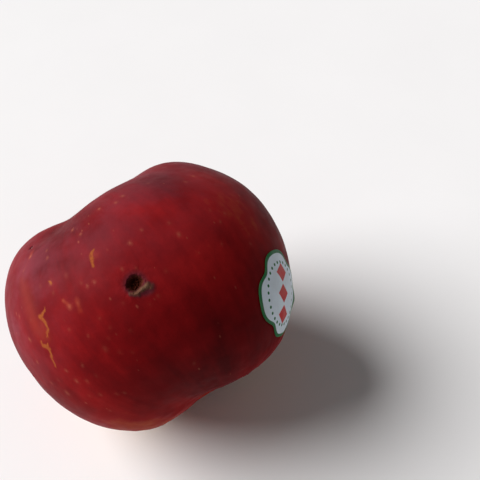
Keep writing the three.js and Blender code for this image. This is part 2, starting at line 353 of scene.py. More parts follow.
def ball_of_triangles():
    ball = bmesh.new()
    bmesh.ops.create_icosphere(ball, subdivisions=BALL_SUBDIVISIONS, radius=1.0)
    refine(ball, lambda towards: (cracked(towards) > 0.002) | (pored(towards) > 0.02), cuts=3)
    refine(ball, lambda towards: NICK_MAP.away(towards) < 1.2, cuts=2)
    refine(ball, lambda towards: peck_map.away(towards) < 4.6, cuts=2)
    refine(ball, lambda towards: peck_map.away(towards) < 3.2, cuts=1)
    towards = np.array([vert.co for vert in ball.verts])
    towards /= np.linalg.norm(towards, axis=1, keepdims=True)
    ball.verts.index_update()
    faces = [tuple(vert.index for vert in face.verts) for face in ball.faces]
    ball.free()
    return towards, faces


skin_towards, skin_faces = ball_of_triangles()
print("skin triangles:", len(skin_faces))

# %% [markdown]
# ## The pecked hole
#
# Something has pecked a small hole in the side that is seen. Its walls are steep and dark, the
# skin round it has sunk a little as it dried, and along its lower edge a lip of torn skin stands
# up, pale and corky. All of it is height added to or taken from the skin, read on the map round
# the hole.

# %% Shape the pecked hole
PECK_RADIUS = 1.42
PECK_DEPTH = 1.9
PECK_REACH = 5
SUNK_DEPTH = 0.2

# The torn lip: east, north and height in millimetres
LIP_LINE = [(-1.9, -0.3, 0.12), (-1.6, -1.1, 0.28), (-0.75, -1.6, 0.42), (-0.1, -1.4, 0.34),
            (0.4, -1.55, 0.5), (1.0, -1.6, 0.36), (1.6, -1.5, 0.54), (2.05, -2.1, 0.3), (1.8, -2.8, 0.12)]
LIP_WIDTH_INSIDE = 0.5
LIP_WIDTH_OUTSIDE = 0.78


def fractal(points, scale, octaves):
    """Soft natural unevenness between about -1 and 1 at each point."""
    return np.array([noise.fractal(Vector(point * scale), 0.6, 2.0, octaves) for point in points])


def smooth_step(low, high, value):
    part = np.clip((value - low) / (high - low), 0, 1)
    return part * part * (3 - 2 * part)


def lip_height(east, north):
    """The height of the torn lip, steep on the side of the hole and gentle on the other."""
    height = np.zeros(len(east))
    for line_east, line_north, tall in nearest_on(LIP_LINE, east, north):
        away = np.hypot(east - line_east, north - line_north)
        outside = np.hypot(east, north) > np.hypot(line_east, line_north)
        width = np.where(outside, LIP_WIDTH_OUTSIDE, LIP_WIDTH_INSIDE)
        height = np.maximum(height, tall * np.exp(-((away / width) ** 2)))
    return height


def peck_relief(towards):
    """Height of the skin round the hole, how deep in the hole each point is, how torn it is, and how bruised
    it is, with painted shade on the skin below the torn lip.
    """
    east, north = peck_map.read(towards)
    far = np.hypot(east, north)
    close = far < PECK_REACH
    height, inside, torn, bruise_and_shade = (np.zeros(len(far)) for _ in range(4))
    east, north, far = east[close], north[close], far[close]
    angle = np.arctan2(north, east)
    flat = np.stack([east, north, np.zeros(len(east))], axis=1)
    rough = fractal(flat, 0.8, 2)
    # the edge is a little oval, a little three-cornered and ragged
    edge = PECK_RADIUS * (1 + 0.12 * np.cos(2 * angle - 0.5) + 0.06 * np.cos(3 * angle) + 0.2 * rough)
    within = smooth_step(1.32, 0.5, far / edge)
    floor = PECK_DEPTH * (0.8 + 0.25 * fractal(flat + 7, 2.2, 2))
    lip = lip_height(east, north) * (0.85 + 0.3 * rough)
    wrinkles = 1 + 0.22 * np.cos(9 * angle + 3 * rough)
    sunk = SUNK_DEPTH * np.exp(-((far / 3.0) ** 2)) * wrinkles * smooth_step(PECK_REACH, 4, far)
    height[close] = lip * (1 - 0.7 * within) - floor * within - sunk
    inside[close] = within
    torn[close] = np.clip(lip / 0.55, 0, 1)
    # painted shade: the skin below the torn lip is darkened as if in the lip's shadow, added to the bruise
    # round the hole
    shaded_flap = np.hypot((east - 1.5) / 1.6, (north + 2.5) / 1.1)
    bruise_and_shade[close] = np.clip(np.exp(-((far / 2.6) ** 4)) + 0.9 * np.exp(-(shaded_flap ** 2)), 0, 1)
    return height, inside, torn, bruise_and_shade


peck_height, peck_inside, peck_torn, peck_bruise_and_shade = peck_relief(skin_towards)
print("deepest point of the pecked hole: %.1f mm" % -peck_height.min())

# %% [markdown]
# ## The skin as a mesh
#
# A real apple is never perfectly smooth. Its skin is a little uneven, it puckers round the flower
# end, and it is worn flat where it rests. This one also has a few slight swells and dips. All of
# it is added along the line from the core. The unevenness only takes away, and the swells lie
# clear of the widest places, so the fruit stays inside the box of its solid.

# %% Pull the ball to the form of the fruit
UNEVENNESS = 0.12
PUCKERS = 11
PUCKER_DEPTH = 0.28
KNOB_HEIGHT = 0.35
CRACK_DEPTH = 0.06
NICK_DEPTH = 0.35
NICK_WIDTH = 0.45

# Swells and dips too slight for the solids, given in the same way as the swells
SLIGHT_SWELLS = {
    "knob at the flower end": (155, -28, 8, 0.45),
    "crown": (150, 20, 16, 0.35),
    "under the front": (142, -44, 9, 0.16),
    "dip between the shoulders": (44, -6, 9, -0.3),
    "crease of the dip": (38, -21, 8, -0.8),
    "right of the dip": (45, 22, 10, -0.35),
    "left shoulder": (40, -36, 10, -0.25),
}


def plain_skin(towards):
    """The distance from core to skin with its unevenness, and with knobs round the flower end."""
    from_calyx = 180 - np.degrees(polar_angle(towards))
    radius = skin_radius(towards) + lobes(towards, SLIGHT_SWELLS.values())
    radius -= UNEVENNESS * (0.5 + 0.5 * fractal(towards, 5.0, 3))
    knobs = 0.5 + 0.5 * fractal(towards, 7.5, 3)
    return radius - KNOB_HEIGHT * knobs * smooth_step(52, 36, from_calyx) * smooth_step(8, 20, from_calyx)


def skin_places(towards):
    """Points of the finished skin, in the frame that the part stands in."""
    polar, azimuth = polar_angle(towards), azimuth_angle(towards)
    radius = plain_skin(towards)
    from_calyx = np.degrees(np.pi - polar)
    wander = 1.5 * fractal(towards, 3.0, 2)
    puckers = np.cos(PUCKERS * azimuth + wander) * np.exp(-(((from_calyx - 9) / 5) ** 2))
    radius -= PUCKER_DEPTH * (0.5 + 0.5 * puckers) * (from_calyx < 30)
    radius += peck_height
    radius -= CRACK_DEPTH * cracked(towards)
    radius -= NICK_DEPTH * np.exp(-((NICK_MAP.away(towards) / NICK_WIDTH) ** 2))
    places = set_down(towards * radius[:, None])
    places[:, 2] = np.maximum(places[:, 2], 0)
    return places


skin_points = skin_places(skin_towards)
print("skin size in mm:", (skin_points.max(axis=0) - skin_points.min(axis=0)).round(1))

# %% [markdown]
# ## Pieces and what they carry
#
# Each piece is a mesh object in metres that rides on the part's one body. What a material needs to
# know about a point, such as how far it is from a crack, is kept on the mesh as a named attribute,
# so the finish stays with the fruit however it is turned.

# %% Helpers that make a piece


def make_piece(name, points, faces, node=None):
    """A smooth mesh piece from points in millimetres, tied to the part."""
    mesh = bpy.data.meshes.new(name)
    mesh.from_pydata((np.asarray(points) * MM).tolist(), [], faces)
    mesh.shade_smooth()
    mesh.update()
    piece = bpy.data.objects.new(name, mesh)
    bpy.context.scene.collection.objects.link(piece)
    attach(piece, "root")
    if node:
        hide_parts(node)
    return piece


def keep_number(piece, name, values):
    attribute = piece.data.attributes.new(name, "FLOAT", "POINT")
    attribute.data.foreach_set("value", np.asarray(values, np.float32))


def keep_vector(piece, name, values):
    attribute = piece.data.attributes.new(name, "FLOAT_VECTOR", "POINT")
    attribute.data.foreach_set("vector", np.asarray(values, np.float32).ravel())


print("helpers for pieces are ready")

# %% [markdown]
# ## Where the red is deep
#
# Sun and shade on the tree make the red deep in one place and thin in another. This could be
# painted by hand, but soft round lobes in a list are easy to move and to weigh against each other.
# A dusty bloom lies towards the stalk, where no leaf has rubbed it off; its purple is also painted
# sheen of the window light, most on the left shoulder. The yellow ground shows underneath and round
# the flower end. The deep red on the side towards the flower end is partly painted shade.

# %% Keep on the mesh what the finish has to know
# Each lobe: polar angle, azimuth, width in degrees, and how much deeper the red is, or thinner
RIPENESS_AND_SHADE = {
    # deep side: partly the fruit's own deep red, partly painted shade on the side away from the light
    "deep side and painted shade": (119, 21, 27, 0.23),
    "deep shoulder": (45, -13, 16, 0.22),
    "deep top": (53, 44, 14, 0.26),
    "deep saddle": (133, -5, 12, 0.13),
    "deep flower end": (154, -4, 13, 0.38),
    "deep basin": (164, -140, 20, 0.26),
    "deep front": (103, -18, 14, 0.05),
    "thin crown": (86, 50, 20, -0.2),
    "thin middle": (84, 18, 18, -0.09),
    "thin lower side": (124, -38, 18, -0.15),
    "thin under the front": (142, -44, 9, -0.08),
    "thin by the cracks": (80, -40, 12, -0.07),
    "thin right": (102, 26, 14, -0.14),
    "thin by the label": (92, 58, 12, -0.03),
    "thin below the hole": (112, 5, 12, -0.1),
}
DARK_PATCHES = [
    (56, -26, 6, 0.24), (65.5, -11, 5, 0.12), (63, 5, 5, 0.14), (103.5, -27, 5, 0.11), (66, 44, 6, 0.07),
    (87, 44, 6, 0.06), (51, 50, 6, 0.07), (81, -11, 4, 0.09), (97, -8, 4, 0.09),
]
BRIGHT_PATCHES = [
    (64, 27, 7, -0.13), (64, 64, 8, -0.16), (81, 55, 11, -0.14), (76, 30, 5, -0.08), (52, -21, 4, -0.08),
]
# The bloom by the stalk also carries painted sheen; the left shoulder lobe is painted sheen of the window
# light.
DUST_AND_SHEEN_BY_THE_STALK = 0.34
SHEEN_ON_LEFT_SHOULDER = (66, -52, 23, 0.5)
UNDERSIDE = unit(np.array([0.25, -0.35, -1.0]))
GROUND_AT_FLOWER_END = 0.7
GROUND_THINS_RED = 0.55


def dust_and_sheen_amount(towards):
    """How much dull bloom and painted sheen there is: both towards the stalk, and the painted sheen on the
    left shoulder.
    """
    polar = np.degrees(polar_angle(towards))
    return DUST_AND_SHEEN_BY_THE_STALK * smooth_step(104, 50, polar) + lobes(towards, [SHEEN_ON_LEFT_SHOULDER])


def bare_ground(towards):
    """How much of the yellow ground shows: most underneath, and some round the flower end."""
    polar = np.degrees(polar_angle(towards))
    redder_side = 1 - 0.7 * smooth_step(0.8, 0.96, towards @ direction(135, 45))
    flower_end = GROUND_AT_FLOWER_END * smooth_step(131, 154, polar) * redder_side
    return np.maximum(smooth_step(0.12, 0.85, towards @ FRUIT_AXES @ UNDERSIDE), flower_end)


def skin_attributes(piece, towards):
    """Keeps what the finish has to know about each point of the skin."""
    polar, azimuth = polar_angle(towards), azimuth_angle(towards)
    keep_vector(piece, "meridian", np.stack([np.cos(azimuth), np.sin(azimuth), polar], axis=1))
    depth = lobes(towards, [*RIPENESS_AND_SHADE.values(), *DARK_PATCHES, *BRIGHT_PATCHES])
    numbers = {
        "crack": cracked(towards), "large_pore": pored(towards), "flush": flushed(towards),
        "nick_away": np.minimum(NICK_MAP.away(towards), 5), "peck_inside": peck_inside,
        "peck_torn": peck_torn, "peck_bruise_and_shade": peck_bruise_and_shade, "dust_and_sheen": dust_and_sheen_amount(towards),
        "ripeness_and_shade": depth - GROUND_THINS_RED * bare_ground(towards),
    }
    for name, values in numbers.items():
        keep_number(piece, name, values)


fruit = make_piece("fruit", skin_points, skin_faces, "apple")
skin_attributes(fruit, skin_towards)
print("fruit:", len(fruit.data.polygons), "faces")

# %% [markdown]
# ## Finishes from nodes
#
# Every finish here is a small tree of nodes round a Principled shader. A few helpers keep the
# trees short to read: one adds a node, one mixes two colours, one turns a number into a mask.

# %% Helpers for finishes


class Finish:
    """A material and short ways to add to its tree."""

    def __init__(self, name):
        self.material = bpy.data.materials.new(name)
        self.material.use_nodes = True
        self.tree = self.material.node_tree
        self.shader = self.tree.nodes["Principled BSDF"]
        self.place = self.add("TexCoord").outputs["Object"]

    def add(self, kind, settings=None, **inputs):
        made = self.tree.nodes.new("ShaderNode" + kind)
        for name, value in (settings or {}).items():
            setattr(made, name, value)
        for name, value in inputs.items():
            self.give(made.inputs[name.replace("_", " ")], value)
        return made

    def give(self, socket, value):
        """A link where the value is another node's socket, and else a plain value."""
        if isinstance(value, bpy.types.NodeSocket):
            self.tree.links.new(value, socket)
        elif socket.type == "RGBA" and len(value) == 3:
            socket.default_value = (*value, 1)
        else:
            socket.default_value = value

    def kept(self, name, output="Fac"):
        """An attribute of the mesh."""
        return self.add("Attribute", {"attribute_name": name}).outputs[output]

    def maths(self, operation, first, second=0.0, third=0.0):
        made = self.add("Math", {"operation": operation})
        for socket, value in zip(made.inputs, (first, second, third)):
            self.give(socket, value)
        return made.outputs[0]

    def stretch(self, vector, factors):
        made = self.add("VectorMath", {"operation": "MULTIPLY"})
        self.give(made.inputs[0], vector)
        self.give(made.inputs[1], factors)
        return made.outputs[0]

    def cloud(self, vector, scale, detail=4.0, roughness=0.55):
        """Noise between 0 and 1."""
        return self.add("TexNoise", Vector=vector, Scale=scale, Detail=detail, Roughness=roughness).outputs[0]

    def mask(self, value, low, high, to_low=0.0, to_high=1.0):
        made = self.add("MapRange", {"interpolation_type": "SMOOTHSTEP"})
        for name, given in (("Value", value), ("From Min", low), ("From Max", high),
                            ("To Min", to_low), ("To Max", to_high)):
            self.give(made.inputs[name], given)
        return made.outputs[0]

    def mix(self, part, first, second):
        made = self.add("Mix", {"data_type": "RGBA"})
        for index, value in ((0, part), (6, first), (7, second)):
            self.give(made.inputs[index], value)
        return made.outputs[2]

    def ramp(self, value, stops):
        """A run of colours along a number: stops are (place, colour)."""
        made = self.add("ValToRGB", Fac=value)
        elements = made.color_ramp.elements
        elements[0].position, elements[1].position = stops[0][0], stops[-1][0]
        for place, _ in stops[1:-1]:
            elements.new(place)
        for element, (_, colour) in zip(elements, stops):
            element.color = (*colour, 1)
        return made.outputs[0]

    def bump(self, height, distance, strength=1.0, below=None):
        made = self.add("Bump", Strength=strength, Distance=distance, Height=height)
        if below is not None:
            self.give(made.inputs["Normal"], below)
        return made.outputs[0]

    def set(self, **inputs):
        for name, value in inputs.items():
            self.give(self.shader.inputs[name.replace("_", " ")], value)


def linear(red, green, blue):
    """A colour given as screen values from 0 to 255, as the light values that shaders use."""
    screen = np.array([red, green, blue]) / 255
    return tuple(np.where(screen <= 0.04045, screen / 12.92, ((screen + 0.055) / 1.055) ** 2.4).tolist())


print("finish helpers are ready")

# %% [markdown]
# ## The red of the skin
#
# The red of an apple lies over a yellow ground in streaks that run from stalk to flower end, so
# the noise that makes it is stretched along the meridians. Finer mottle and broader patches are
# added to it, and the sum picks a colour from a ramp. The dusty bloom, with painted sheen of the
# window light in it, is mixed over that.

# %% Mix the red
MAROON = linear(78, 9, 12)
DEEP_RED = linear(112, 13, 16)
RED = linear(142, 21, 22)
ORANGE_RED = linear(164, 66, 36)
GROUND_YELLOW = linear(200, 150, 76)
FLUSH = linear(166, 68, 42)
BLOOM_AND_SHEEN = linear(132, 60, 71)


def streaked_red(finish, meridian):
    """The ground, the red over it and the streaks between them."""
    fine = finish.cloud(finish.stretch(meridian, (9, 9, 1.3)), 1.6, 5.0, 0.6)
    broad = finish.cloud(finish.stretch(meridian, (2.2, 2.2, 0.7)), 1.3, 3.0)
    mottle = finish.cloud(finish.place, 260, 5.0, 0.6)
    patch = finish.cloud(finish.place, 75, 3.0)
    streak = finish.maths("MULTIPLY_ADD", fine, 0.3, finish.maths("MULTIPLY", broad, 0.34))
    speckle = finish.maths("MULTIPLY_ADD", mottle, 0.36, finish.maths("MULTIPLY", patch, 0.48))
    depth = finish.maths("ADD", finish.maths("ADD", streak, speckle), -0.12)
    ripe = finish.maths("ADD", depth, finish.kept("ripeness_and_shade"))
    stops = [(0.0, GROUND_YELLOW), (0.18, ORANGE_RED), (0.36, RED), (0.62, DEEP_RED), (0.9, MAROON)]
    red = finish.ramp(ripe, stops)
    flush = finish.maths("MULTIPLY", finish.kept("flush"), finish.mask(patch, 0.3, 0.6, 0.3, 0.62))
    return finish.mix(flush, red, FLUSH)


def bloom_and_painted_sheen(finish, colour):
    """A thin waxy bloom in soft patches towards the stalk, with painted sheen of the window light on the left
    shoulder; both dull the red towards purple.
    """
    patches = finish.mask(finish.cloud(finish.place, 95, 4.0, 0.6), 0.35, 0.65, 0.3, 1.0)
    return finish.mix(finish.maths("MULTIPLY", patches, finish.kept("dust_and_sheen")), colour, BLOOM_AND_SHEEN)


print("reds from", [round(v, 3) for v in MAROON], "to", [round(v, 3) for v in RED])

# %% [markdown]
# ## Marks on the skin
#
# Over the red come the marks: pale pores, cork in the cracks and round the stalk, a small dark
# nick with a painted glint in it, and the hole with its dark inside, made darker deep down as
# painted shade, its torn pale lip and the bruise beside it, with painted shade on the skin below
# the lip. The masks were kept on the mesh, and noise roughens their edges here.

# %% Choose the marks' colours, and scatter small pores and cork
PORE = linear(168, 94, 72)
CORK = linear(162, 90, 42)
CAVITY_CORK = linear(158, 114, 68)
CAVITY_BROWN = linear(118, 76, 44)
CAVITY_GREEN = linear(132, 112, 44)
NICK_DARK = linear(60, 10, 16)
# painted glint: a near-white highlight in the middle of the nick
NICK_GLINT = linear(206, 176, 170)
# a bruise, and painted shade on the skin below the torn lip
BRUISE_AND_SHADE = linear(72, 30, 38)
HOLE_WALL = linear(84, 39, 30)
# browned flesh, darkened deep in the hole as painted shade
HOLE_FLOOR_AND_SHADE = linear(72, 30, 20)
TORN_SKIN = linear(102, 75, 58)
TORN_BROWN = linear(92, 56, 44)


def small_pores(finish, meridian):
    """Faint pores scattered by cells, longer along the meridians, in many sizes."""
    spread = finish.stretch(meridian, (1, 1, 0.62))
    cells = finish.add("TexVoronoi", Vector=spread, Scale=15.0)
    chance = finish.add("SeparateColor", Color=cells.outputs["Color"])
    size = finish.mask(chance.outputs[0], 0.3, 1.0, 0.02, 0.17)
    near = finish.maths("DIVIDE", cells.outputs["Distance"], size)
    strength = finish.mask(chance.outputs[1], 0.0, 1.0, 0.12, 0.6)
    return finish.maths("MULTIPLY", finish.mask(near, 1.0, 0.25), strength)


def cavity_cork(finish, meridian):
    """The cork that lines the cavity and frays up its wall, and a green halo round it."""
    angle = finish.add("SeparateXYZ", Vector=meridian).outputs[2]
    rays = finish.cloud(finish.stretch(meridian, (3.4, 3.4, 2.0)), 1.6, 3.0, 0.6)
    scales = finish.cloud(finish.place, 620, 5.0, 0.68)
    reach = finish.maths("MULTIPLY_ADD", rays, 0.36, finish.maths("MULTIPLY_ADD", scales, 0.34, -0.14))
    inside = finish.maths("SUBTRACT", reach, angle)
    return finish.mask(inside, -0.05, 0.1, 0.0, 0.9), finish.mask(inside, -0.3, 0.05, 0.0, 0.5)


print("pores and cavity cork are ready")

# %% Lay the marks over the red


def marked_skin(finish, colour, meridian):
    """The colour with all its marks, and how much each point is cork or torn."""
    ragged = finish.cloud(finish.place, 1700, 4.0, 0.65)
    uneven = finish.mask(ragged, 0.3, 0.6, 0.55, 1.0)
    pore = finish.maths("MAXIMUM", small_pores(finish, meridian), finish.kept("large_pore"))
    fleck = finish.maths("MULTIPLY", pore, finish.maths("MULTIPLY", uneven, 0.7))
    colour = finish.mix(fleck, colour, PORE)

    cavity, halo = cavity_cork(finish, meridian)
    colour = finish.mix(halo, colour, CAVITY_GREEN)
    cork = finish.mix(finish.mask(ragged, 0.35, 0.65), CAVITY_CORK, CAVITY_BROWN)
    colour = finish.mix(cavity, colour, cork)

    crack = finish.maths("MULTIPLY", finish.mask(finish.kept("crack"), 0.08, 0.95, 0.0, 0.78), uneven)
    colour = finish.mix(crack, colour, CORK)

    nick = finish.kept("nick_away")
    colour = finish.mix(finish.mask(nick, 0.75, 0.3, 0.0, 0.8), colour, NICK_DARK)
    # painted glint in the middle of the nick
    colour = finish.mix(finish.mask(nick, 0.24, 0.08), colour, NICK_GLINT)

    inside = finish.kept("peck_inside")
    fray = finish.cloud(finish.place, 900, 4.0, 0.6)
    torn = finish.maths("MULTIPLY_ADD", fray, 0.5, finish.kept("peck_torn"))
    # bruise round the hole, and painted shade on the skin below the torn lip
    colour = finish.mix(finish.mask(finish.kept("peck_bruise_and_shade"), 0.1, 1.0, 0.0, 0.8), colour, BRUISE_AND_SHADE)
    colour = finish.mix(finish.mask(inside, 0.02, 0.35), colour, HOLE_WALL)
    # deep in the hole: browned flesh, darkened further as painted shade
    colour = finish.mix(finish.mask(inside, 0.3, 0.85), colour, HOLE_FLOOR_AND_SHADE)
    colour = finish.mix(finish.mask(torn, 0.35, 0.6), colour, finish.ramp(torn, [
        (0.4, BRUISE_AND_SHADE), (0.7, TORN_BROWN), (1.0, TORN_SKIN)]))
    torn = finish.mask(torn, 0.5, 1.0)
    dry = finish.maths("MAXIMUM", torn, finish.maths("MULTIPLY", inside, 0.25))
    corky = finish.maths("MAXIMUM", finish.maths("MAXIMUM", crack, cavity), dry)
    return colour, corky, pore, ragged


print("marks are ready to mix")

# %% [markdown]
# ## The finish of the skin
#
# Last comes the surface. A ripe apple has a thin natural wax, so it is satin rather than shiny,
# and it is rougher where there is cork. The pores stand a hair above the skin. Gloss that is the
# same all over is set on the shader itself.

# %% Finish the skin


def skin_finish():
    finish = Finish("streaked_apple_skin")
    meridian = finish.kept("meridian", "Vector")
    colour = bloom_and_painted_sheen(finish, streaked_red(finish, meridian))
    colour, corky, pore, ragged = marked_skin(finish, colour, meridian)
    waxy = finish.mask(finish.cloud(finish.place, 420, 4.0), 0.25, 0.75, 0.46, 0.6)
    roughness = finish.maths("MULTIPLY_ADD", corky, 0.35, waxy)
    grain = finish.bump(finish.cloud(finish.place, 1500, 3.0), 0.00004, 0.5)
    raised = finish.bump(pore, 0.00006, 0.5, grain)
    surface = finish.bump(finish.maths("MULTIPLY", ragged, corky), 0.00016, 1.0, raised)
    finish.set(Base_Color=colour, Roughness=roughness, Normal=surface)
    finish.set(Specular_IOR_Level=0.025, Sheen_Weight=0.03, Sheen_Roughness=0.25, Sheen_Tint=(0.9, 0.7, 0.9))
    return finish.material


fruit.data.materials.append(skin_finish())
print("skin finish:", fruit.data.materials[0].name)

# %% [markdown]
# ## Rings and lofts
#
# The stalk, the sepals and the stamens are all long thin things with a changing section. A loft
# joins a run of rings of points into one closed skin, which suits each of them.

# %% Make lofts


def loft_faces(ring_count, sides):
    """The faces of a closed body over rings, each anticlockwise about the way they follow."""
    faces = []
    for ring in range(ring_count - 1):
        for side in range(sides):
            here, beside = ring * sides + side, ring * sides + (side + 1) % sides
            faces.append((here, beside, beside + sides, here + sides))
    faces.append(tuple(reversed(range(sides))))
    faces.append(tuple(range((ring_count - 1) * sides, ring_count * sides)))
    return faces


def sweep(path, widths, thicknesses, sides, across):
    """Oval rings along a path: width lies along across, thickness square to it and to the path."""
    along = np.gradient(path, axis=0)
    along /= np.linalg.norm(along, axis=1, keepdims=True)
    angles = np.linspace(0, 2 * np.pi, sides, endpoint=False)
    rings = []
    for centre, forward, width, thickness in zip(path, along, widths, thicknesses):
        sideways = unit(across - (across @ forward) * forward)
        over = np.cross(forward, sideways)
        rings.append(centre + np.outer(np.cos(angles) * width, sideways)
                     + np.outer(np.sin(angles) * thickness, over))
    return np.concatenate(rings), loft_faces(len(path), sides)


def smooth_path(points, count):
    """A Catmull-Rom curve through a few points."""
    points = np.asarray(points, float)
    padded = np.vstack([2 * points[0] - points[1], points, 2 * points[-1] - points[-2]])
    places = np.linspace(0, len(points) - 1, count)
    out = []
    for place in places:
        index = min(int(place), len(points) - 2)
        t = place - index
        before, start, end, after = padded[index:index + 4]
        out.append(0.5 * (2 * start + (end - before) * t + (2 * before - 5 * start + 4 * end - after) * t * t
                          + (3 * start - before - 3 * end + after) * t ** 3))
    return np.array(out)


def gather(parts):
    """Several lofts as one mesh."""
    points, faces, start = [], [], 0
    for part_points, part_faces in parts:
        points.append(part_points)
        faces += [tuple(index + start for index in face) for face in part_faces]
        start += len(part_points)
    return np.concatenate(points), faces


print("a loft of 3 rings of 8 points has", len(loft_faces(3, 8)), "faces")

# %% [markdown]
# ## The stalk
#
# The stalk of such an apple is short and woody, and thickens to a knob where it broke from the
# twig. It stands in the floor of the cavity and leans back a little. Long ridges run up it, so its
# rings are circles pushed in and out by noise that changes slowly along the stalk.

# %% Make the stalk
STALK = {"sunk": 3, "tall": 7.2, "radius": 1.05, "knob": 1.7, "bend": 0.035}
STALK_SIDES = 40
STALK_RINGS = 70


def stalk_radius(height):
    """The stalk's radius at each height: a waist in the middle and a knob at the top."""
    tall, radius, knob = STALK["tall"], STALK["radius"], STALK["knob"]
    heights = [-STALK["sunk"], -1, *(tall * np.array([0.15, 0.5, 0.8, 0.92, 0.98, 1]))]
    radii = [*(radius * np.array([0.85, 1, 0.95, 0.85, 0.98])), *(knob * np.array([0.92, 1, 0.8]))]
    return np.interp(height, heights, radii)


def stalk_points():
    tall = STALK["tall"]
    heights = np.linspace(-STALK["sunk"], tall, STALK_RINGS)
    radii = np.convolve(np.pad(stalk_radius(heights), 3, mode="edge"), np.ones(7) / 7, mode="valid")
    rings = [(height, radius) for height, radius in zip(heights, radii)]
    # the broken end sinks in from its rim
    rings += [(tall - 0.12 * step, radii[-1] * (1 - 0.24 * step)) for step in (1, 2, 3, 4)]
    angles = np.linspace(0, 2 * np.pi, STALK_SIDES, endpoint=False)
    points = []
    for height, radius in rings:
        back = STALK["bend"] * max(0, height) ** 2
        for angle in angles:
            x, y = math.cos(angle), math.sin(angle)
            ridge = noise.fractal(Vector((x * 2.4, y * 2.4, height * 0.22)), 0.6, 2.0, 4)
            wart = noise.fractal(Vector((x * 2, y * 2, height * 1.1)) + Vector((5, 5, 5)), 0.7, 2.0, 4)
            out = radius * (1 + 0.1 * ridge + 0.05 * wart)
            points.append((out * x - back, out * y, height + 0.3 * back * x + 0.08 * wart))
    return np.array(points), loft_faces(len(rings), STALK_SIDES)


stalk_local, stalk_faces = stalk_points()
stalk = make_piece("stalk", set_down(stalk_local + [0, 0, CAVITY_FLOOR]), stalk_faces, "stem")
keep_number(stalk, "stalk_height", stalk_local[:, 2])
keep_vector(stalk, "stalk_place", stalk_local)
print("stalk: %.1f mm above the floor of the cavity" % stalk_local[:, 2].max())

# %% Finish the stalk


def stalk_finish():
    finish = Finish("woody_stalk")
    height = finish.kept("stalk_height")
    fibre = finish.cloud(finish.stretch(finish.kept("stalk_place", "Vector"), (1, 1, 0.16)), 2.6, 6.0, 0.65)
    colour = finish.ramp(fibre, [
        (0.25, linear(54, 38, 24)), (0.5, linear(102, 74, 44)), (0.78, linear(148, 118, 76))])
    green = finish.mask(height, 3.2, -0.5, 0.0, 0.45)
    colour = finish.mix(green, colour, linear(98, 96, 48))
    scar = finish.mask(height, 6.5, 7.0, 0.0, 0.75)
    colour = finish.mix(scar, colour, finish.ramp(finish.cloud(finish.place, 1800, 4.0), [
        (0.3, linear(60, 42, 28)), (0.7, linear(142, 112, 80))]))
    cells = finish.add("TexVoronoi", Vector=finish.place, Scale=1500.0)
    dots = finish.mask(cells.outputs["Distance"], 0.22, 0.1, 0.0, 0.5)
    colour = finish.mix(dots, colour, linear(176, 146, 106))
    surface = finish.bump(fibre, 0.00025, 0.9, finish.bump(dots, 0.00006, 0.6))
    finish.set(Base_Color=colour, Normal=surface, Roughness=0.8)
    return finish.material


stalk.data.materials.append(stalk_finish())
print("stalk finish:", stalk.data.materials[0].name)

# %% [markdown]
# ## The dried flower end
#
# At the other end the flower has left five sepals, dry and curled, round a tuft of stamens. On the
# tree they were green leaves. Each sepal here is a thin sweep that rises, leans in and curls out to
# a point, with its own twist. The stamens are threads with a small thick head.

# %% Shape one sepal, one stamen and the pad they grow from
CALYX = {"sepals": 5, "stamens": 14, "pad_radius": 2.0, "pad_sunk": 1.0, "pad_proud": 0.4}
SEPAL_SIDES = 14
random = np.random.default_rng(11)


def turn_about_core(points, angle):
    c, s = math.cos(angle), math.sin(angle)
    return np.asarray(points) @ np.array([[c, s, 0], [-s, c, 0], [0, 0, 1]])


def sepal(angle, droop):
    """One sepal as a sweep, narrow at its point, with edges that roll in."""
    path = smooth_path([(1.45, 0, -0.5), (1.85, 0, 0.9), (1.6, 0, 2.0),
                        (2.1, 0, 3.0 - droop * 0.4), (3.1, 0, 3.2 - droop)], 26)
    part = np.linspace(0, 1, len(path))
    widths = 1.02 * (1 - part) ** 0.75 + 0.07
    points, faces = sweep(path, widths, 0.16 - 0.09 * part, SEPAL_SIDES, np.array([0.0, 1.0, 0.0]))
    ring = np.repeat(part, SEPAL_SIDES)
    curl = 0.32 * (points[:, 1] ** 2) * (0.4 + ring)
    points[:, 0] -= curl * 0.8
    points[:, 2] += curl * 0.35
    crease = np.array([noise.fractal(Vector(point) * 1.3, 0.6, 2.0, 3) for point in points])
    points[:, 0] += 0.14 * crease * ring
    points[:, 1] += 0.16 * crease * ring * math.sin(angle * 3 + 1)
    return turn_about_core(points, angle), faces


def stamen(angle, far, tall):
    lean = 0.22 * random.normal()
    path = smooth_path([(far, 0, -0.2), (far + 0.12, 0.1 * lean, tall * 0.5), (far + 0.05, lean, tall)], 9)
    part = np.linspace(0, 1, len(path))
    radii = 0.11 - 0.04 * part + 0.13 * np.exp(-(((part - 0.93) / 0.09) ** 2))
    points, faces = sweep(path, radii, radii, 7, np.array([0.0, 1.0, 0.0]))
    return turn_about_core(points, angle), faces


def calyx_pad():
    """The low cushion that the sepals and stamens grow from."""
    heights = [-CALYX["pad_sunk"], -0.3, 0.1, 0.32, CALYX["pad_proud"], 0.3]
    shares = [0.9, 1.0, 1.0, 0.9, 0.72, 0.3]
    angles = np.linspace(0, 2 * np.pi, 40, endpoint=False)
    points = []
    for height, share in zip(heights, shares):
        for angle in angles:
            lump = noise.fractal(Vector((math.cos(angle), math.sin(angle), height)) * 2, 0.6, 2.0, 3)
            out = CALYX["pad_radius"] * share * (0.95 + 0.05 * lump)
            points.append((out * math.cos(angle), out * math.sin(angle), height))
    return np.array(points), loft_faces(len(heights), len(angles))


def calyx_place(points):
    """From a frame that looks out of the basin to the frame of the part."""
    return set_down(np.asarray(points) * [1, -1, -1] - [0, 0, BASIN_FLOOR])


print("one sepal has %d faces" % len(sepal(0, 0)[1]))

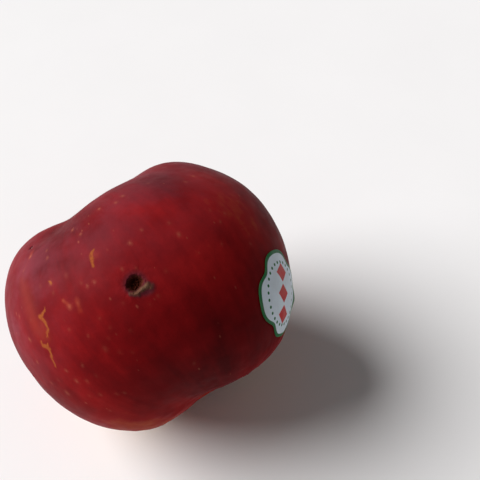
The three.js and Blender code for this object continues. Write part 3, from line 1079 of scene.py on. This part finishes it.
# %% Set them in the basin
sepal_parts = [calyx_pad()]
for count in range(CALYX["sepals"]):
    sepal_angle = 2 * math.pi * count / CALYX["sepals"] + 0.15 * math.sin(count * 2.4)
    sepal_parts.append(sepal(sepal_angle, 0.25 + 0.25 * math.sin(count * 1.9)))
sepal_points, sepal_faces = gather(sepal_parts)
sepals = make_piece("sepals", calyx_place(sepal_points), sepal_faces, "calyx")

stamen_parts = []
for count in range(CALYX["stamens"]):
    stamen_angle = 2 * math.pi * (count + 0.4 * random.random()) / CALYX["stamens"]
    stamen_parts.append(stamen(stamen_angle, 0.55 + 0.4 * random.random(), 1.7 + 0.8 * random.random()))
stamen_points, stamen_faces = gather(stamen_parts)
stamens = make_piece("stamens", calyx_place(stamen_points), stamen_faces)
print("sepals and stamens:", len(sepal_faces) + len(stamen_faces), "faces")

# %% [markdown]
# ## The finish of the dried flower
#
# Dry sepals are brown and fibrous, and matt with a faint sheen of down. The stamens are darker.
# Both take one finish with other browns, so it is a function of three colours.

# %% Colour the sepals and stamens


def dry_finish(name, dark, middle, light):
    finish = Finish(name)
    fibre = finish.cloud(finish.place, 1300, 6.0, 0.7)
    colour = finish.ramp(fibre, [(0.28, dark), (0.5, middle), (0.75, light)])
    finish.set(Base_Color=colour, Normal=finish.bump(fibre, 0.0002, 0.8), Roughness=0.85)
    finish.set(Specular_IOR_Level=0.2, Sheen_Weight=0.06, Sheen_Roughness=0.6)
    return finish.material


SEPAL_BROWNS = linear(66, 44, 26), linear(128, 98, 58), linear(172, 146, 98)
STAMEN_BROWNS = linear(34, 20, 12), linear(74, 50, 30), linear(116, 86, 54)
sepals.data.materials.append(dry_finish("dry_sepals", *SEPAL_BROWNS))
stamens.data.materials.append(dry_finish("dry_stamens", *STAMEN_BROWNS))
print("dry finishes:", sepals.data.materials[0].name, stamens.data.materials[0].name)

# %% [markdown]
# ## The label
#
# Fruit like this is sold with a small film label. This one is round with four notches in its edge.
# A flat sheet laid on the fruit would stand off it at the rim, so the label is built on a map of
# the skin, and every point of it is set just above the skin that it covers.

# %% Make the label
LABEL = {"half_long": 9.3, "half_wide": 9.6, "lift": 0.05, "thick": 0.12}
NOTCHES = {"count": 4, "depth": 0.14, "first": math.radians(58), "narrow": 3}
LABEL_RINGS = 60
LABEL_SIDES = 240
label_map = SkinMap(120.5, 64.5, 15)


def label_edge(angles):
    """How far out the label's edge is, as a share of its half size."""
    wave = (1 + np.cos(NOTCHES["count"] * (angles - NOTCHES["first"]))) / 2
    return 1 - NOTCHES["depth"] * wave ** NOTCHES["narrow"]


def label_lift(angles, share):
    """The label's height above the skin: two stretches of its rim have come a little unstuck."""
    loose = np.exp(-(((angles + 0.12) / 0.24) ** 2)) + 0.4 * np.exp(-(((angles + 2.3) / 0.25) ** 2))
    return LABEL["lift"] + 0.42 * loose * np.clip((share - 0.8) / 0.2, 0, 1) ** 2


def label_sheet():
    angles = np.linspace(-np.pi, np.pi, LABEL_SIDES, endpoint=False)
    shares = np.linspace(0.004, 1, LABEL_RINGS)
    edge = label_edge(angles)
    east = np.outer(shares, LABEL["half_wide"] * edge * np.cos(angles)).ravel()
    north = np.outer(shares, LABEL["half_long"] * edge * np.sin(angles)).ravel()
    towards = label_map.towards(east, north)
    skin = plain_skin(towards)
    lift = label_lift(np.tile(angles, LABEL_RINGS), np.repeat(shares, LABEL_SIDES))
    under = towards * (skin + lift)[:, None]
    over = towards * (skin + lift + LABEL["thick"])[:, None]
    count = LABEL_RINGS * LABEL_SIDES
    back = np.arange(count).reshape(LABEL_RINGS, LABEL_SIDES)[::-1].ravel()
    order = np.concatenate([np.arange(count), back])
    points = set_down(np.concatenate([under, over[back]]))
    inset = ((1 - shares)[:, None] * np.hypot(LABEL["half_wide"] * edge * np.cos(angles),
                                              LABEL["half_long"] * edge * np.sin(angles))).ravel()
    return points, loft_faces(2 * LABEL_RINGS, LABEL_SIDES), east[order], north[order], inset[order]


label_points, label_faces, label_east, label_north, label_inset = label_sheet()
label = make_piece("label_film", label_points, label_faces, "label")
keep_vector(label, "label_place", np.stack([label_east, label_north, np.zeros(len(label_east))], axis=1))
keep_number(label, "label_inset", label_inset)
print("label: %.1f by %.1f mm" % (np.ptp(label_east), np.ptp(label_north)))

# %% [markdown]
# ## The print on the label
#
# The print is worked out from distances on the label's own map, so its edges stay sharp at any
# size: a green line round the rim, a column of three red diamonds, and a ring of green dots.

# %% Colour the label
LABEL_WHITE = linear(222, 234, 245)
LABEL_GREEN = linear(14, 106, 54)
LABEL_RED = linear(200, 18, 22)
RIM_WIDTH = 0.75
DIAMOND = {"step": 4.4, "half_wide": 2.5, "half_tall": 2.0}
DOTS = {"count": 28, "reach": 6.6, "radius": 0.34}


def diamonds(finish, east, north):
    """A column of three diamonds, from the distance to the nearest middle."""
    nearest = finish.maths("WRAP", north, DIAMOND["step"] / 2, -DIAMOND["step"] / 2)
    beside = finish.maths("DIVIDE", finish.maths("ABSOLUTE", east), DIAMOND["half_wide"])
    above = finish.maths("DIVIDE", finish.maths("ABSOLUTE", nearest), DIAMOND["half_tall"])
    shape = finish.mask(finish.maths("ADD", beside, above), 1.03, 0.97)
    row = finish.mask(finish.maths("ABSOLUTE", north), 1.5 * DIAMOND["step"], 1.5 * DIAMOND["step"] - 0.05)
    return finish.maths("MULTIPLY", shape, row)


def length_of(finish, first, second):
    squares = finish.maths("MULTIPLY_ADD", first, first, finish.maths("MULTIPLY", second, second))
    return finish.maths("SQRT", squares)


def ring_of_dots(finish, east, north):
    """Dots at even angles round the middle."""
    far = length_of(finish, east, north)
    half_step = math.pi / DOTS["count"]
    turn = finish.maths("WRAP", finish.maths("ARCTAN2", north, east), half_step, -half_step)
    along = finish.maths("MULTIPLY", turn, DOTS["reach"])
    out = finish.maths("SUBTRACT", far, DOTS["reach"])
    away = length_of(finish, along, out)
    return finish.mask(away, DOTS["radius"] + 0.05, DOTS["radius"] - 0.05)


def label_finish():
    finish = Finish("printed_film")
    flat = finish.add("SeparateXYZ", Vector=finish.kept("label_place", "Vector"))
    east, north = flat.outputs[0], flat.outputs[1]
    rim = finish.mask(finish.kept("label_inset"), RIM_WIDTH + 0.06, RIM_WIDTH - 0.06)
    green = finish.maths("MAXIMUM", ring_of_dots(finish, east, north), rim)
    colour = finish.mix(diamonds(finish, east, north), LABEL_WHITE, LABEL_RED)
    colour = finish.mix(green, colour, LABEL_GREEN)
    handled = finish.mask(finish.cloud(finish.place, 240, 4.0), 0.35, 0.75, 0.0, 0.14)
    colour = finish.mix(handled, colour, linear(160, 152, 142))
    finish.set(Base_Color=colour, Normal=finish.bump(finish.cloud(finish.place, 160, 2.0), 0.0003, 0.5))
    finish.set(Roughness=finish.mask(finish.cloud(finish.place, 320, 3.0), 0.3, 0.7, 0.4, 0.55))
    finish.set(Specular_IOR_Level=0.12)
    return finish.material


label.data.materials.append(label_finish())
print("label finish:", label.data.materials[0].name)

# %% [markdown]
# ## Floor and light
#
# The fruit lies on a plain pale floor. The light is one big soft lamp from the left, as from a
# window, so the left of the fruit is bright and its right falls into dark maroon. A sun lamp is
# used, because its angle makes the light as soft as wanted and its distance doesn't matter. A dim
# even sky and the floor fill the shadows.

# %% Make the floor
FLOOR_SIZE = 12.0
FLOOR_GAP = 0.00005


def floor_piece():
    mesh = bpy.data.meshes.new("floor")
    corners = [(-1, -1), (1, -1), (1, 1), (-1, 1)]
    points = [(x * FLOOR_SIZE / 2, y * FLOOR_SIZE / 2, -FLOOR_GAP) for x, y in corners]
    mesh.from_pydata(points, [], [(0, 1, 2, 3)])
    piece = bpy.data.objects.new("floor", mesh)
    bpy.context.scene.collection.objects.link(piece)
    finish = Finish("pale_floor")
    colour = finish.mix(finish.cloud(finish.place, 30, 3.0), (0.86, 0.86, 0.86), (0.9, 0.9, 0.9))
    finish.set(Base_Color=colour, Roughness=0.7)
    mesh.materials.append(finish.material)
    return piece


floor_piece()
print("floor: %.0f m square" % FLOOR_SIZE)

# %% Make the light and the sky


def soft_light(name, source, spread, strength, colour):
    """A far light as wide as a large window: source points from the fruit to it."""
    lamp = bpy.data.lights.new(name, "SUN")
    lamp.angle = math.radians(spread)
    lamp.energy = strength
    lamp.color = colour
    made = bpy.data.objects.new(name, lamp)
    made.rotation_euler = Vector(source).to_track_quat("Z", "Y").to_euler()
    bpy.context.scene.collection.objects.link(made)
    return made


def even_sky(light, seen):
    """A dim even sky for its light, which is paler where it is looked at."""
    sky = bpy.data.worlds.new("even_sky")
    sky.use_nodes = True
    nodes, links = sky.node_tree.nodes, sky.node_tree.links
    backdrop = nodes.new("ShaderNodeBackground")
    choice = nodes.new("ShaderNodeMixShader")
    for background, strength in ((nodes["Background"], light), (backdrop, seen)):
        background.inputs["Color"].default_value = (1, 1, 1, 1)
        background.inputs["Strength"].default_value = strength
    links.new(nodes.new("ShaderNodeLightPath").outputs["Is Camera Ray"], choice.inputs[0])
    links.new(nodes["Background"].outputs[0], choice.inputs[1])
    links.new(backdrop.outputs[0], choice.inputs[2])
    links.new(choice.outputs[0], nodes["World Output"].inputs["Surface"])
    bpy.context.scene.world = sky


soft_light("window_light", source=(-0.77, 0.10, 0.63), spread=48, strength=4.6, colour=(1.0, 0.98, 0.98))
even_sky(light=0.13, seen=0.92)

# %% [markdown]
# ## The camera
#
# The fruit is looked at from in front and well above, and it fills the lower left of the picture.
# The lens is a plain 60 mm on a 36 mm sensor, and the camera's place is given from the core.

# %% Make the camera
CAMERA_FROM_CORE = np.array([20.33, -95.73, 153.56])
CAMERA_DROP = math.radians(54)


def make_camera():
    lens = bpy.data.cameras.new("camera")
    lens.lens = 60
    lens.sensor_width = 36
    lens.clip_start = 0.01
    camera = bpy.data.objects.new("camera", lens)
    camera.location = Vector((CORE_PLACE + CAMERA_FROM_CORE) * MM)
    camera.rotation_euler = (math.pi / 2 - CAMERA_DROP, 0, 0)
    bpy.context.scene.collection.objects.link(camera)
    bpy.context.scene.camera = camera
    return camera


camera = make_camera()
bpy.context.scene.view_settings.view_transform = "Standard"
print("camera at", [round(value, 3) for value in camera.location])
